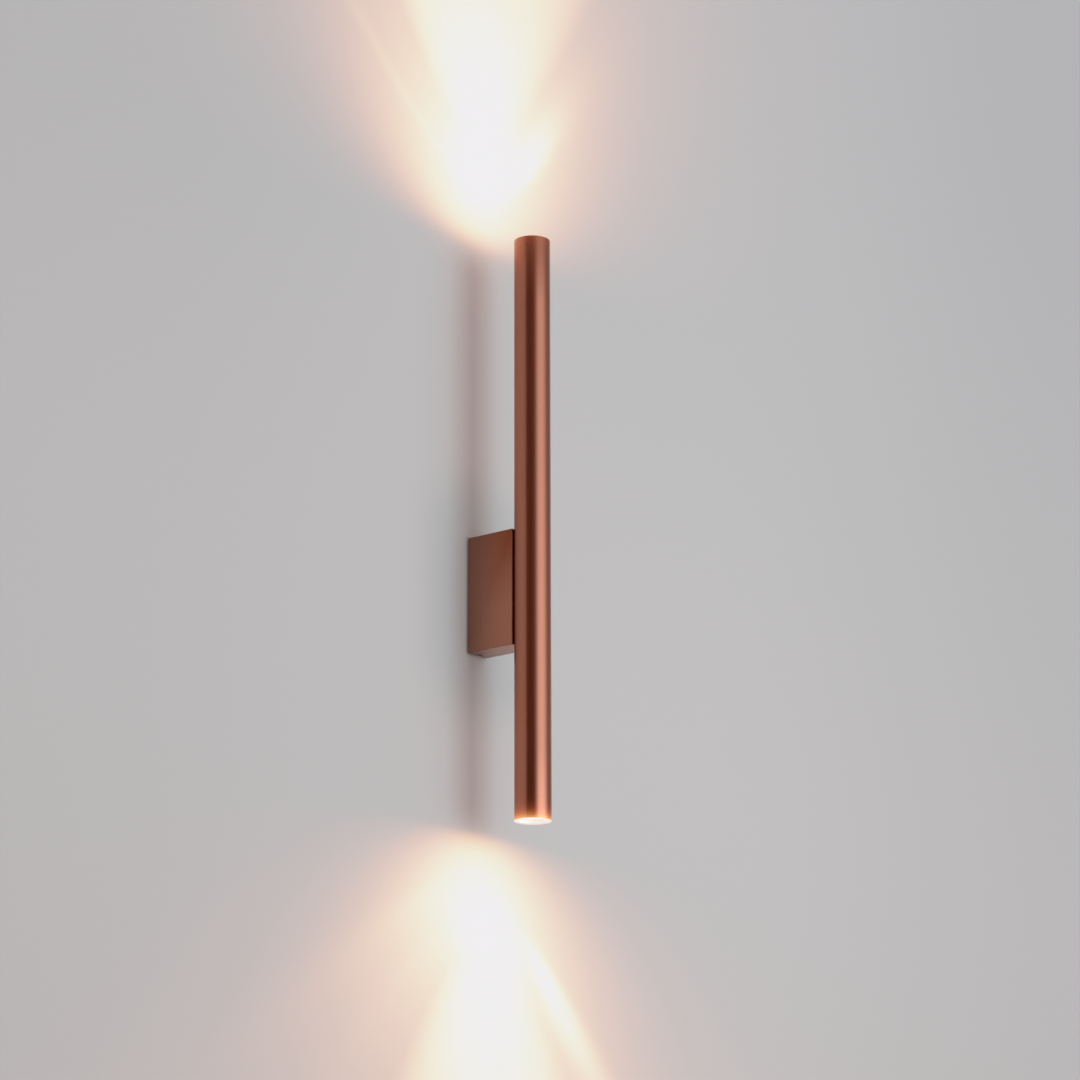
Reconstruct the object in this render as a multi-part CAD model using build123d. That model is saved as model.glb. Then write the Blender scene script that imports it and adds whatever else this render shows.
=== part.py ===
from build123d import *
import math
import os

# Tube wall light: a slim tube that shines up and down the wall, held off it by a narrow box.
# Millimetres. X is to the right for someone who faces the wall, +Y points into the wall, Z is up.
# The origin is the middle of the box's back, on the wall's surface.

# ---- Tube ---------------------------------------------------------------------------------------
tube_diameter = 30.0
tube_wall = 1.5
tube_length = 490.0
tube_centre_z = 52.0  # the tube's middle, above the box's middle
tube_axis_out = 59.0  # from the wall to the tube's axis
tube_rim_chamfer = 0.3

# ---- Wall box -----------------------------------------------------------------------------------
box_width = 24.0
box_height = 97.0
box_front_out = 47.4  # from the wall to the box's front face
box_wall = 2.0
box_edge_radius = 0.6
wall_gap = 1.2  # shadow gap between the box's rim and the wall

# ---- Wall bracket and cable grommet -------------------------------------------------------------
bracket_thickness = 1.5
bracket_bend_radius = 1.0
bracket_side_clearance = 0.5
bracket_top_clearance = 0.25
bracket_bottom_clearance = 0.5
flange_depth = 10.0  # from the wall to the flanges' free edges
wall_screw_hole_diameter = 4.5
wall_screw_spacing = 60.0
cable_bore_diameter = 8.0
grommet_wall = 1.95
grommet_flange_diameter = 15.6
grommet_flange_thickness = 1.6

# ---- Lock screw at the underside ----------------------------------------------------------------
lock_screw_diameter = 3.0
lock_screw_out = 3.6  # from the wall to the screw's axis
lock_screw_recess = 0.5
lock_tip_clearance = 0.1
lock_pad_width = 8.0
lock_pad_depth = 8.0
lock_pad_height = 2.5
hex_socket_share = 0.5  # socket's width across flats, of the grub screw's diameter
hex_socket_depth = 1.6

# ---- Joint between box and tube -----------------------------------------------------------------
seat_clearance = 0.05
thread_clearance = 0.03  # between a screw's outside and the hole that it is cut in, on the radius
tube_screw_diameter = 4.0
tube_screw_length = 8.0
tube_screw_head_diameter = 8.0
tube_screw_head_height = 2.4
tube_screw_spacing = 72.0
screw_hole_clearance = 0.25
screw_head_chamfer = 0.6
clamp_bar_thickness = 3.0
clamp_bar_width = 12.0
clamp_bar_length = 88.0
wire_hole_diameter = 8.0
wire_bush_wall = 0.75
wire_bush_flange_diameter = 10.0
wire_bush_flange_thickness = 1.0
wire_bush_stand_out = 0.4  # past the clamp bar's inner face

# ---- Driver -------------------------------------------------------------------------------------
driver_length = 52.0
driver_wall = 1.2
driver_tape_thickness = 1.0
driver_side_clearance = 2.0
driver_front_clearance = 1.05  # behind the heads of the tube screws
driver_top_clearance = 0.5
wiring_depth = 13.5  # from the wall to the driver's back
driver_board_thickness = 1.2
driver_board_stand = 1.5
driver_board_edge_clearance = 0.2
driver_rail_width = 1.5
transformer_height = 9.5  # above the board
transformer_depth = 14.0
transformer_core_share = 0.45  # of the transformer's length, in its two core ends together
winding_share = 0.85  # of the core's height and depth
large_capacitor_diameter = 8.0
large_capacitor_height = 10.0
small_capacitor_diameter = 6.3
small_capacitor_height = 9.0
choke_diameter = 8.0
choke_height = 9.0
choke_waist_share = 0.84  # of the choke's diameter, between its end plates
choke_plate_thickness = 1.3
component_gap = 1.5

# ---- Terminal block -----------------------------------------------------------------------------
terminal_side_clearance = 1.5
terminal_flange_clearance = 2.0
terminal_height = 14.0
terminal_length = 16.0
terminal_pad_thickness = 1.0
terminal_end_wall = 3.0
terminal_pole_spacing = 8.0
terminal_clamp_diameter = 5.0
terminal_clamp_bore = 2.6
terminal_clamp_clearance = 0.1
terminal_entry_diameter = 3.2

# ---- Leads --------------------------------------------------------------------------------------
mains_lead_diameter = 1.8
lamp_lead_diameter = 1.4
lead_hole_clearance = 0.1
mains_lead_reach = 7.0  # from the terminal block's front to the rising stretch
mains_lead_bend = 6.0
lamp_lead_offset = 1.6  # of each of the four lamp leads from the wire hole's axis, in X and Z
lamp_lead_start_out = 22.4  # from the wall to the middle between the two pairs, at the driver
lead_drop = 7.0  # from the driver's lower end to the wire hole's axis
lamp_lead_tube_run = 2.0  # from the tube's axis towards the wall
lamp_lead_bend = 4.5
lamp_lead_swing_bend = 25.0
lamp_lead_swing = 16.0  # height over which a lamp lead swings out to its hole in the heat sink
lamp_lead_straight = 8.0
lead_solder_height = 0.3  # of the lamp leads' ends above the LED board

# ---- Lamp module in each end of the tube --------------------------------------------------------
ring_recess = 0.3
ring_length = 3.0
ring_wall = 1.0
ring_lip_chamfer = 0.3
diffuser_thickness = 2.0
diffuser_clearance = 0.15
reflector_height = 14.0
reflector_wall = 0.8
reflector_mouth_edge = 1.5  # from the tube's bore to the reflector's mouth
reflector_base_radius = 3.8
reflector_bulge = 0.62  # share of the flare that is reached at half height
reflector_flange_thickness = 1.2
board_thickness = 1.2
board_clearance = 1.0
emitter_radius = 3.5
emitter_height = 0.9
emitter_bevel = 0.4
thermal_pad_thickness = 0.4
thermal_pad_edge = 1.4  # from the axis of the lead holes in to the pad's edge
sink_clearance = 0.1
sink_length = 45.0
sink_groove_count = 5
sink_groove_depth = 3.0
sink_fin_thickness = 2.2
sink_solid_ends = 9.0  # length at each end of the heat sink that is left ungrooved
lead_hole_radius_at = 8.0  # from the tube's axis to the lead holes
board_screw_edge = 2.1  # from the LED board's edge to its screws
board_screw_diameter = 2.0
board_screw_length = 6.0
board_screw_hole_spare = 1.0  # depth of the tapped holes past the screws' ends
board_screw_head_diameter = 3.8
board_screw_head_height = 1.3
module_screw_diameter = 3.0
module_screw_length = 6.0
module_screw_recess = 0.3
module_screw_dimple_clearance = 0.15
module_gap = 0.05  # between the pieces of a module that are pressed together

# ---- Places that follow from the sizes ----------------------------------------------------------
tube_radius = tube_diameter / 2
bore_radius = tube_radius - tube_wall
tube_axis_y = -tube_axis_out
tube_back_y = tube_axis_y + tube_radius
saddle_radius = tube_radius + seat_clearance

rim_y = -wall_gap
front_y = -box_front_out
inner_front_y = tube_axis_y + saddle_radius + box_wall
cavity_width = box_width - 2 * box_wall
cavity_height = box_height - 2 * box_wall
cavity_top = cavity_height / 2
cavity_bottom = -cavity_height / 2

bracket_width = cavity_width - 2 * bracket_side_clearance
bracket_top = cavity_top - bracket_top_clearance
bracket_bottom = cavity_bottom + lock_pad_height + bracket_bottom_clearance
grommet_radius = cable_bore_diameter / 2 + grommet_wall

clamp_bar_radius = bore_radius - seat_clearance
clamp_bar_inner_y = tube_axis_y + clamp_bar_radius - clamp_bar_thickness
tube_screw_levels = (tube_screw_spacing / 2, -tube_screw_spacing / 2)
tube_screw_hole_radius = tube_screw_diameter / 2 + screw_hole_clearance
wire_bush_radius = wire_hole_diameter / 2 - seat_clearance

driver_left = -cavity_width / 2 + driver_tape_thickness
driver_right = cavity_width / 2 - driver_side_clearance
driver_front = inner_front_y + tube_screw_head_height + driver_front_clearance
driver_back = -wiring_depth
driver_top = bracket_top - bracket_thickness - driver_top_clearance
driver_bottom = driver_top - driver_length
driver_depth = driver_back - driver_front
driver_middle_y = (driver_front + driver_back) / 2
driver_middle_z = (driver_bottom + driver_top) / 2
board_left = driver_left + driver_wall + driver_board_stand
board_right = board_left + driver_board_thickness
choke_z = driver_bottom + driver_wall + component_gap + choke_diameter / 2
small_capacitor_z = driver_top - driver_wall - component_gap - small_capacitor_diameter / 2
capacitor_pitch = component_gap + (small_capacitor_diameter + large_capacitor_diameter) / 2
large_capacitor_z = small_capacitor_z - capacitor_pitch
transformer_bottom = choke_z + choke_diameter / 2 + component_gap
transformer_top = large_capacitor_z - large_capacitor_diameter / 2 - component_gap
wire_hole_z = driver_bottom - lead_drop

terminal_back = -(flange_depth + terminal_flange_clearance)
terminal_front = terminal_back - terminal_length
terminal_bottom = cavity_bottom + terminal_pad_thickness
terminal_wire_z = terminal_bottom + terminal_height / 2
terminal_width = cavity_width - 2 * terminal_side_clearance
terminal_clamp_length = terminal_length - 2 * terminal_end_wall

ring_radius = bore_radius - seat_clearance
diffuser_front = -(ring_recess + ring_length + module_gap)
diffuser_back = diffuser_front - diffuser_thickness
reflector_mouth = diffuser_back - module_gap
led_board_front = reflector_mouth - reflector_height
led_board_back = led_board_front - board_thickness
sink_front = led_board_back - thermal_pad_thickness
sink_back = sink_front - sink_length
board_radius = bore_radius - board_clearance
board_screw_at = board_radius - board_screw_edge
sink_radius = bore_radius - sink_clearance
module_screw_z = sink_back + sink_solid_ends / 2

ENDS = {"upper": 1, "lower": -1}


# ---- Helpers ------------------------------------------------------------------------------------
def block(x_range, y_range, z_range):
    """Box between pairs of limits."""
    limits = (x_range, y_range, z_range)
    middle = [(low + high) / 2 for low, high in limits]
    return Pos(*middle) * Box(*[high - low for low, high in limits])


def bar_y(radius, start, end, x=0.0, z=0.0):
    """Cylinder along Y between two depths."""
    return Pos(x, (start + end) / 2, z) * Rot(X=90) * Cylinder(radius, abs(end - start))


def bar_z(radius, start, end, x=0.0, y=0.0):
    """Cylinder along Z between two levels."""
    return Pos(x, y, (start + end) / 2) * Cylinder(radius, abs(end - start))


def turned(*profile):
    """Solid turned about Z from the (radius, level) corners of half its section."""
    return revolve(Plane.XZ * make_face(Polyline(*profile, close=True)), Axis.Z)


def group(solids):
    """Separate solids of one node."""
    return Compound(children=list(solids))


def grub_screw(diameter, length):
    """Grub screw that stands on its socket end at level 0, point upwards."""
    radius = diameter / 2
    body = turned((0, 0), (radius, 0), (radius, length - radius / 2), (radius / 2, length), (0, length))
    across_corners = diameter * hex_socket_share / math.cos(math.pi / 6)
    socket = extrude(RegularPolygon(across_corners / 2, 6), amount=hex_socket_depth)
    return body - socket


def at_end(piece, side):
    """Piece drawn for a tube end at level 0 that points up, set in the upper or lower end."""
    if side < 0:
        piece = mirror(piece, Plane.XY)
    return Pos(0, tube_axis_y, tube_centre_z + side * tube_length / 2) * piece


# ---- Tube, box and what joins them --------------------------------------------------------------
def make_tube():
    section = Pos(bore_radius + tube_wall / 2, tube_centre_z) * Rectangle(tube_wall, tube_length)
    section = chamfer(section.vertices(), tube_rim_chamfer)
    body = Pos(0, tube_axis_y, 0) * revolve(Plane.XZ * section, Axis.Z)
    for level in tube_screw_levels:
        body -= bar_y(tube_screw_hole_radius, tube_axis_y, tube_back_y + 1, z=level)
    body -= bar_y(wire_hole_diameter / 2, tube_axis_y, tube_back_y + 1, z=wire_hole_z)
    for side in ENDS.values():
        level = tube_centre_z + side * (tube_length / 2 + module_screw_z)
        body -= bar_y(module_screw_diameter / 2 + thread_clearance, tube_axis_y, tube_back_y + 1, z=level)
    return body


def make_wall_box():
    half_width = box_width / 2
    shell = block((-half_width, half_width), (front_y, rim_y), (-box_height / 2, box_height / 2))
    shell = fillet([e for e in shell.edges() if e.center().Y < rim_y - box_edge_radius], box_edge_radius)
    shell -= block((-cavity_width / 2, cavity_width / 2), (inner_front_y, rim_y + 1),
                   (cavity_bottom, cavity_top))
    shell += block((-lock_pad_width / 2, lock_pad_width / 2), (rim_y - lock_pad_depth, rim_y),
                   (cavity_bottom - box_wall / 2, cavity_bottom + lock_pad_height))
    shell -= bar_z(lock_screw_diameter / 2 + thread_clearance, -box_height, cavity_bottom + box_height / 4,
                   y=-lock_screw_out)
    shell -= bar_z(saddle_radius, -box_height, box_height, y=tube_axis_y)
    for level in tube_screw_levels:
        shell -= bar_y(tube_screw_hole_radius, tube_axis_y, inner_front_y + 1, z=level)
    shell -= bar_y(wire_hole_diameter / 2, tube_axis_y, inner_front_y + 1, z=wire_hole_z)
    return shell


def make_clamp_bar():
    """Curved nut bar that lies against the tube's bore behind the box."""
    ring = Circle(clamp_bar_radius) - Circle(clamp_bar_radius - clamp_bar_thickness)
    strip = ring & Pos(0, clamp_bar_radius) * Rectangle(clamp_bar_width, clamp_bar_radius)
    bar = Pos(0, tube_axis_y, -clamp_bar_length / 2) * extrude(strip, amount=clamp_bar_length)
    for level in tube_screw_levels:
        bar -= bar_y(tube_screw_diameter / 2 + thread_clearance, tube_axis_y, tube_back_y, z=level)
    return bar - bar_y(wire_hole_diameter / 2, tube_axis_y, tube_back_y, z=wire_hole_z)


def make_tube_screws():
    """Two screws with their heads inside the box and their threads in the clamp bar."""
    def screw(level):
        shank = bar_y(tube_screw_diameter / 2, inner_front_y, inner_front_y - tube_screw_length, z=level)
        head = bar_y(tube_screw_head_diameter / 2, inner_front_y, inner_front_y + tube_screw_head_height,
                     z=level)
        head = chamfer(head.edges().sort_by(Axis.Y)[-1], screw_head_chamfer)
        socket = Pos(0, inner_front_y + tube_screw_head_height, level) * Rot(X=90) * extrude(
            RegularPolygon(tube_screw_diameter * hex_socket_share, 6), amount=tube_screw_head_height / 2)
        return shank + head - socket
    return group(screw(level) for level in tube_screw_levels)


def make_wire_bush():
    """Nylon bush that lines the wire hole through box, tube and clamp bar."""
    outer = bar_y(wire_bush_radius, inner_front_y, clamp_bar_inner_y - wire_bush_stand_out, z=wire_hole_z)
    outer += bar_y(wire_bush_flange_diameter / 2, inner_front_y, inner_front_y + wire_bush_flange_thickness,
                   z=wire_hole_z)
    return outer - bar_y(wire_bush_radius - wire_bush_wall, tube_axis_y, driver_front, z=wire_hole_z)


# ---- Wall side ----------------------------------------------------------------------------------
def make_wall_bracket():
    """Folded steel plate: its back lies on the wall and its flanges reach into the box."""
    half_width = bracket_width / 2
    bend = bracket_bend_radius + bracket_thickness
    plate = block((-half_width, half_width), (-flange_depth, 0), (bracket_bottom, bracket_top))
    plate = fillet(plate.edges().filter_by(Axis.X).group_by(Axis.Y)[-1], bend)
    hollow = block((-half_width - 1, half_width + 1), (-2 * flange_depth, -bracket_thickness),
                   (bracket_bottom + bracket_thickness, bracket_top - bracket_thickness))
    hollow = fillet(hollow.edges().filter_by(Axis.X).group_by(Axis.Y)[-1], bracket_bend_radius)
    plate -= hollow
    for level in (wall_screw_spacing / 2, -wall_screw_spacing / 2):
        plate -= bar_y(wall_screw_hole_diameter / 2, -flange_depth, 1, z=level)
    return plate - bar_y(grommet_radius + seat_clearance, -flange_depth, 1)


def make_cable_grommet():
    """Rubber grommet that lines the bracket's cable hole, flush with the wall side."""
    flange_y = -bracket_thickness - grommet_flange_thickness
    flange = bar_y(grommet_flange_diameter / 2, -bracket_thickness, flange_y)
    flange = chamfer(flange.edges().sort_by(Axis.Y)[0], grommet_flange_thickness / 3)
    body = flange + bar_y(grommet_radius, -bracket_thickness, 0)
    return body - bar_y(cable_bore_diameter / 2, 2 * flange_y, 1)


def make_lock_screw():
    """Grub screw in the box's underside, with its point just under the bracket's lower flange."""
    low = -box_height / 2 + lock_screw_recess
    length = bracket_bottom - lock_tip_clearance - low
    return Pos(0, -lock_screw_out, low) * grub_screw(lock_screw_diameter, length)


# ---- Leads --------------------------------------------------------------------------------------
def sweep_lead(name, diameter, points, radii):
    """Round lead along straight runs joined by arcs. Prints its radii, and its volume against its length."""
    route = FilletPolyline(*points, radius=radii)
    section = Plane(route @ 0, z_dir=route % 0) * Circle(diameter / 2)
    lead = sweep(section, path=route)
    expected = math.pi * diameter ** 2 / 4 * route.length
    print(f"{name}: length {route.length:.1f}, bends {radii}, volume/expected {lead.volume / expected:.4f}")
    return lead


def mains_lead_x(pole):
    return pole * terminal_pole_spacing / 2


def mains_lead_y():
    return terminal_front - mains_lead_reach


def make_mains_lead(name, pole):
    """Lead from a pole of the terminal block up into the driver."""
    x, y = mains_lead_x(pole), mains_lead_y()
    points = [(x, terminal_front + terminal_end_wall, terminal_wire_z), (x, y, terminal_wire_z),
              (x, y, driver_bottom + driver_wall)]
    return sweep_lead(name, mains_lead_diameter, points, [mains_lead_bend])


def lamp_lead_start(side):
    """Depth at which a pair of lamp leads leaves the driver: the upper pair further from the wall."""
    return -lamp_lead_start_out - side * lamp_lead_offset


def make_lamp_lead(name, side, hand):
    """Lead from the driver through the wire hole and along the tube to an LED board."""
    x, level = hand * lamp_lead_offset, wire_hole_z + side * lamp_lead_offset
    start_y, run_y = lamp_lead_start(side), tube_axis_y + lamp_lead_tube_run
    tube_end = tube_centre_z + side * tube_length / 2
    swing_end = tube_end + side * (sink_back - lamp_lead_straight)
    points = [
        (x, start_y, driver_bottom + driver_wall),
        (x, start_y, level),
        (x, run_y, level),
        (x, run_y, swing_end - side * lamp_lead_swing),
        (hand * lead_hole_radius_at, tube_axis_y, swing_end),
        (hand * lead_hole_radius_at, tube_axis_y, tube_end + side * (led_board_front + lead_solder_height)),
    ]
    bends = [lamp_lead_bend] * 2 + [lamp_lead_swing_bend] * 2
    return sweep_lead(name, lamp_lead_diameter, points, bends)


# ---- Driver in the box --------------------------------------------------------------------------
def make_driver_case():
    """Tray that is open to the side, with rails for the board and holes for the leads."""
    lid_left = driver_right - driver_wall
    case = block((driver_left, lid_left), (driver_front, driver_back), (driver_bottom, driver_top))
    case -= block((driver_left + driver_wall, lid_left + 1),
                  (driver_front + driver_wall, driver_back - driver_wall),
                  (driver_bottom + driver_wall, driver_top - driver_wall))
    rail_y = driver_depth / 2 - driver_wall - driver_rail_width / 2
    for hand in (1, -1):
        rail_x = driver_left + driver_wall + driver_board_stand / 2
        case += Pos(rail_x, driver_middle_y + hand * rail_y, driver_middle_z) * Box(
            driver_board_stand, driver_rail_width, driver_length - driver_wall)
    low, high = driver_bottom - 1, driver_bottom + driver_wall + 1
    for pole in (1, -1):
        case -= bar_z(mains_lead_diameter / 2 + lead_hole_clearance, low, high, mains_lead_x(pole),
                      mains_lead_y())
    for side in ENDS.values():
        for hand in (1, -1):
            case -= bar_z(lamp_lead_diameter / 2 + lead_hole_clearance, low, high, hand * lamp_lead_offset,
                          lamp_lead_start(side))
    return case


def make_driver_lid():
    return block((driver_right - driver_wall, driver_right), (driver_front, driver_back),
                 (driver_bottom, driver_top))


def make_driver_tape():
    return block((driver_left - driver_tape_thickness, driver_left), (driver_front, driver_back),
                 (driver_bottom, driver_top))


def make_driver_board():
    edge = driver_wall + driver_board_edge_clearance
    return block((board_left, board_right), (driver_front + edge, driver_back - edge),
                 (driver_bottom + edge, driver_top - edge))


def make_driver_transformer():
    """Two core ends with the winding between them."""
    length = transformer_top - transformer_bottom
    window_length = length * (1 - transformer_core_share)
    core = Box(transformer_height, transformer_depth, length)
    core -= Box(transformer_height + 1, transformer_depth + 1, window_length)
    winding = Box(transformer_height * winding_share, transformer_depth * winding_share, window_length)
    middle_z = (transformer_bottom + transformer_top) / 2
    return Pos(board_right + transformer_height / 2, driver_middle_y, middle_z) * (core + winding)


def make_driver_capacitors():
    """One large and two small round capacitors that stand on the board above the transformer."""
    def capacitor(diameter, height, y, z):
        return Pos(board_right + height / 2, y, z) * Rot(Y=90) * Cylinder(diameter / 2, height)
    aside = (small_capacitor_diameter + component_gap) / 2
    small = [capacitor(small_capacitor_diameter, small_capacitor_height, driver_middle_y + hand * aside,
                       small_capacitor_z) for hand in (1, -1)]
    large = capacitor(large_capacitor_diameter, large_capacitor_height, driver_middle_y, large_capacitor_z)
    return group([large, *small])


def make_driver_choke():
    """Drum choke below the transformer: two round ends on a narrower winding."""
    radius, end = choke_diameter / 2, choke_plate_thickness
    waist = radius * choke_waist_share
    drum = turned((0, 0), (radius, 0), (radius, end), (waist, end), (waist, choke_height - end),
                  (radius, choke_height - end), (radius, choke_height), (0, choke_height))
    return Pos(board_right, driver_middle_y, choke_z) * Rot(Y=90) * drum


# ---- Terminal block -----------------------------------------------------------------------------
def make_terminal_block():
    """Housing with two poles: leads enter at the front, the house cable's wires at the back."""
    half_width = terminal_width / 2
    body = block((-half_width, half_width), (terminal_front, terminal_back),
                 (terminal_bottom, terminal_bottom + terminal_height))
    clamp_room_radius = terminal_clamp_diameter / 2 + terminal_clamp_clearance
    front, back = terminal_front + terminal_end_wall, terminal_back - terminal_end_wall
    for pole in (1, -1):
        x = mains_lead_x(pole)
        body -= bar_y(clamp_room_radius, front, back, x, terminal_wire_z)
        body -= bar_y(mains_lead_diameter / 2 + lead_hole_clearance, terminal_front - 1, front + 1, x,
                      terminal_wire_z)
        body -= bar_y(terminal_entry_diameter / 2, back - 1, terminal_back + 1, x, terminal_wire_z)
    return body


def make_terminal_clamps():
    """Two brass sockets, one in each pole, open to the back."""
    front, back = terminal_front + terminal_end_wall, terminal_back - terminal_end_wall
    return group(
        bar_y(terminal_clamp_diameter / 2, front, back, mains_lead_x(pole), terminal_wire_z)
        - bar_y(terminal_clamp_bore / 2, front + terminal_end_wall / 2, back + 1, mains_lead_x(pole),
                terminal_wire_z)
        for pole in (1, -1))


def make_terminal_pad():
    half_width = terminal_width / 2
    return block((-half_width, half_width), (terminal_front, terminal_back),
                 (cavity_bottom, terminal_bottom))


# ---- Lamp module, drawn with the tube's end at level 0 and the light going up -------------------
def module_disc(radius, top, bottom):
    """Disc with the two lead holes, in X, that the stack shares."""
    disc = bar_z(radius, bottom, top)
    for hand in (1, -1):
        disc -= bar_z(lamp_lead_diameter / 2 + lead_hole_clearance, bottom - 1, top + 1,
                      x=hand * lead_hole_radius_at)
    return disc


def board_screw_holes(radius, bottom):
    """The two screw holes of the stack, in Y, down to a level."""
    return group(bar_z(radius, bottom, led_board_front + 1, y=hand * board_screw_at) for hand in (1, -1))


def make_end_ring():
    """Ring that lines the tube's mouth and keeps the diffuser in."""
    centre = Pos(ring_radius - ring_wall / 2, -ring_recess - ring_length / 2)
    section = centre * Rectangle(ring_wall, ring_length)
    section = chamfer(section.vertices().group_by(Axis.Y)[-1], ring_lip_chamfer)
    return revolve(Plane.XZ * section, Axis.Z)


def make_diffuser():
    return bar_z(bore_radius - diffuser_clearance, diffuser_back, diffuser_front)


def make_reflector():
    """Flared cup from the emitter to the diffuser, with a rim that centres it in the tube."""
    mouth = bore_radius - reflector_mouth_edge
    middle = reflector_base_radius + reflector_bulge * (mouth - reflector_base_radius)
    half_way = (led_board_front + reflector_mouth) / 2
    rim = bore_radius - diffuser_clearance

    def flare(wall):
        return ThreePointArc((reflector_base_radius + wall, led_board_front), (middle + wall, half_way),
                             (mouth + wall, reflector_mouth))

    inner, outer = flare(0), flare(reflector_wall)
    outline = inner + outer + Line(inner @ 0, outer @ 0) + Line(inner @ 1, outer @ 1)
    cup = revolve(Plane.XZ * make_face(outline), Axis.Z)
    flange = bar_z(rim, reflector_mouth - reflector_flange_thickness, reflector_mouth)
    flange -= bar_z(mouth + reflector_wall / 2, reflector_mouth - reflector_height, reflector_mouth + 1)
    return cup + flange


def make_led_board():
    board = module_disc(board_radius, led_board_front, led_board_back)
    return board - board_screw_holes(board_screw_diameter / 2 + seat_clearance, sink_front)


def make_led_emitter():
    """Round light source with a bevelled top."""
    disc = bar_z(emitter_radius, led_board_front, led_board_front + emitter_height)
    return chamfer(disc.edges().sort_by(Axis.Z)[-1], emitter_bevel)


def make_thermal_pad():
    """Round pad behind the emitter, within the lead holes."""
    return bar_z(lead_hole_radius_at - thermal_pad_edge, sink_front, led_board_back)


def make_heat_sink():
    """Turned cylinder with a row of grooves, bored for the leads and screws."""
    sink = module_disc(sink_radius, sink_front, sink_back)
    hole_end = led_board_front - board_screw_length - board_screw_hole_spare
    sink -= board_screw_holes(board_screw_diameter / 2 + thread_clearance, hole_end)
    grooved = sink_length - 2 * sink_solid_ends
    pitch = (grooved + sink_fin_thickness) / sink_groove_count
    for number in range(sink_groove_count):
        low = sink_back + sink_solid_ends + number * pitch
        high = low + pitch - sink_fin_thickness
        sink -= bar_z(sink_radius + 1, low, high) - bar_z(sink_radius - sink_groove_depth, low, high)
    dimple = module_screw_diameter / 2 + module_screw_dimple_clearance
    return sink - bar_y(dimple, tube_radius - module_screw_recess - module_screw_length, tube_radius,
                        z=module_screw_z)


def make_board_screws():
    """Two screws that hold the LED board on the heat sink."""
    def screw(hand):
        head_top = led_board_front + board_screw_head_height
        head = bar_z(board_screw_head_diameter / 2, led_board_front, head_top)
        head = chamfer(head.edges().sort_by(Axis.Z)[-1], screw_head_chamfer)
        shank = bar_z(board_screw_diameter / 2, led_board_front - board_screw_length, led_board_front)
        return Pos(0, hand * board_screw_at, 0) * (head + shank)
    return group(screw(hand) for hand in (1, -1))


def make_module_screw():
    """Grub screw through the back of the tube into the heat sink."""
    screw = grub_screw(module_screw_diameter, module_screw_length)
    return Pos(0, tube_radius - module_screw_recess, module_screw_z) * Rot(X=90) * screw


# ---- The whole light ----------------------------------------------------------------------------
MODULE_PIECES = {
    "end_ring": make_end_ring,
    "diffuser": make_diffuser,
    "reflector": make_reflector,
    "led_emitter": make_led_emitter,
    "led_board": make_led_board,
    "board_screws": make_board_screws,
    "thermal_pad": make_thermal_pad,
    "heat_sink": make_heat_sink,
    "module_screw": make_module_screw,
}


def make_pieces():
    """Every piece of the light by its node's name."""
    pieces = {
        "tube": make_tube(),
        "wall_box": make_wall_box(),
        "clamp_bar": make_clamp_bar(),
        "tube_screws": make_tube_screws(),
        "wire_bush": make_wire_bush(),
        "wall_bracket": make_wall_bracket(),
        "cable_grommet": make_cable_grommet(),
        "lock_screw": make_lock_screw(),
        "driver_case": make_driver_case(),
        "driver_lid": make_driver_lid(),
        "driver_tape": make_driver_tape(),
        "driver_board": make_driver_board(),
        "driver_transformer": make_driver_transformer(),
        "driver_capacitors": make_driver_capacitors(),
        "driver_choke": make_driver_choke(),
        "terminal_block": make_terminal_block(),
        "terminal_clamps": make_terminal_clamps(),
        "terminal_pad": make_terminal_pad(),
    }
    for name, pole in {"live_lead": 1, "neutral_lead": -1}.items():
        pieces[name] = make_mains_lead(name, pole)
    for end, side in ENDS.items():
        for colour, hand in {"red": 1, "black": -1}.items():
            name = f"{end}_lead_{colour}"
            pieces[name] = make_lamp_lead(name, side, hand)
    for piece_name, make in MODULE_PIECES.items():
        piece = make()
        for end, side in ENDS.items():
            pieces[f"{end}_{piece_name}"] = at_end(piece, side)
    return pieces


os.makedirs("parts", exist_ok=True)
for node, shape in make_pieces().items():
    export_step(shape, f"parts/{node}.step")
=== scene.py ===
"""Dresses the tube wall light: its surfaces and finishes, the wall behind it, the light and the camera."""

import logging
import math
from dataclasses import dataclass
from enum import Enum
from typing import Any, Union

import bmesh
import bpy
import numpy as np
from mathutils import Matrix


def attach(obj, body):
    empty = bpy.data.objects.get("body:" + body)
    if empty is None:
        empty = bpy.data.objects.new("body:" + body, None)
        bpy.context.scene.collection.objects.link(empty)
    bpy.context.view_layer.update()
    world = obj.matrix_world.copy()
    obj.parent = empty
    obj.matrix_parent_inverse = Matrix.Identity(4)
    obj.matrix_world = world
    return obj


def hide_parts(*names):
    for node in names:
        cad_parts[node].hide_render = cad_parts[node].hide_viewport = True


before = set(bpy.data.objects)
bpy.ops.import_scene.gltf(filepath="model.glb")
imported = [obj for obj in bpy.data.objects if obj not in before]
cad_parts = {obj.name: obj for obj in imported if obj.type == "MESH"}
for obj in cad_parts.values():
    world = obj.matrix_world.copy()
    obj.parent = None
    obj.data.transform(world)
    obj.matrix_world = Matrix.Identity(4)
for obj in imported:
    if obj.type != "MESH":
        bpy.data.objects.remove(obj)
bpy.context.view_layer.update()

LOG = logging.getLogger("tube_wall_light")
WELD = 1e-7  # points of a piece that are closer than this, in metres, are one point

Colour = tuple[float, float, float]
Coords = tuple[float, float, float]
Span = tuple[float, float]  # where a smooth step begins and where it is complete
Step = tuple[float, float, float]  # the same, and how much the step changes
Finishes = dict[str, bpy.types.Material]  # the material of each slot
Feed = Union["Wire", bpy.types.NodeSocket, float, tuple]


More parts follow.
